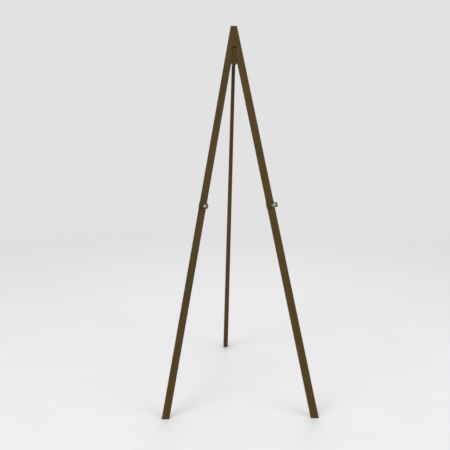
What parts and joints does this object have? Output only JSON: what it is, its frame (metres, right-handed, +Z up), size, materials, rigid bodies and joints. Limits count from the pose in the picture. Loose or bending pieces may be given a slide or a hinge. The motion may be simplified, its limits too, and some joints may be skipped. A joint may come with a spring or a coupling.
{
  "type": "display easel",
  "caption": "Folding wooden A-frame easel: two splayed front legs, a hinged rear leg and a sliding peg clip on each front leg to carry a picture.",
  "frame": {"origin": "on the floor, in the middle of the easel's footprint as it stands open", "axes": "+Z up, the front faces -Y, +X to the right as seen from the front"},
  "size_m": [0.626, 0.7808, 1.6],
  "materials": {
    "stained_wood": "satin walnut stain with a faint straight grain",
    "head_wood": "satin walnut stain, a little darker and redder than the legs",
    "dowel_wood": "raw beech",
    "nickel": "polished nickel plate",
    "dark_steel": "steel with a dark olive-brown oxide finish",
    "brown_lacquer": "semi-gloss brown lacquer",
    "brass": "plain brass",
    "screw_steel": "zinc-plated steel"
  },
  "bodies": {
    "front_frame": {"left_front_leg": "stained_wood", "right_front_leg": "stained_wood", "head_block": "head_wood", "lower_apex_dowel": "dowel_wood", "upper_apex_dowel": "dowel_wood", "left_leg_screw_lower": "screw_steel", "left_leg_screw_upper": "screw_steel", "right_leg_screw_lower": "screw_steel", "right_leg_screw_upper": "screw_steel", "hinge_fixed_leaf": "nickel", "hinge_pin": "screw_steel", "fixed_leaf_screw_upper": "screw_steel", "fixed_leaf_screw_lower": "screw_steel"},
    "rear_leg": {"rear_leg": "stained_wood", "hinge_moving_leaf": "nickel", "moving_leaf_screw_upper": "screw_steel", "moving_leaf_screw_lower": "screw_steel"},
    "left_clip": {"left_clip_sleeve": "brown_lacquer", "left_pressure_plate": "brass", "left_peg_shaft": "nickel", "left_peg_plate": "dark_steel", "left_peg_bolt": "nickel"},
    "right_clip": {"right_clip_sleeve": "brown_lacquer", "right_pressure_plate": "brass", "right_peg_shaft": "nickel", "right_peg_plate": "dark_steel", "right_peg_bolt": "nickel"},
    "left_thumbscrew": {"left_thumbscrew": "nickel"},
    "right_thumbscrew": {"right_thumbscrew": "nickel"}
  },
  "joints": [
    {"name": "rear_leg_fold", "type": "hinge", "parent": "front_frame", "child": "rear_leg", "pos_m": [0, -0.1244, 1.45629], "axis": [-1, 0, 0], "range_deg": [0, 28]},
    {"name": "left_clip_slide", "type": "slide", "parent": "front_frame", "child": "left_clip", "axis": [0.1814, 0.1648, 0.9695], "range_m": [-0.556, 0.321]},
    {"name": "right_clip_slide", "type": "slide", "parent": "front_frame", "child": "right_clip", "axis": [-0.1814, 0.1648, 0.9695], "range_m": [-0.556, 0.321]},
    {"name": "left_thumbscrew_turn", "type": "hinge", "parent": "left_clip", "child": "left_thumbscrew", "pos_m": [-0.14054, -0.23065, 0.83739], "axis": [0, 0.9859, -0.1676], "range_deg": [0, 360]},
    {"name": "right_thumbscrew_turn", "type": "hinge", "parent": "right_clip", "child": "right_thumbscrew", "pos_m": [0.14054, -0.23065, 0.83739], "axis": [0, 0.9859, -0.1676], "range_deg": [0, 360]}
  ]
}
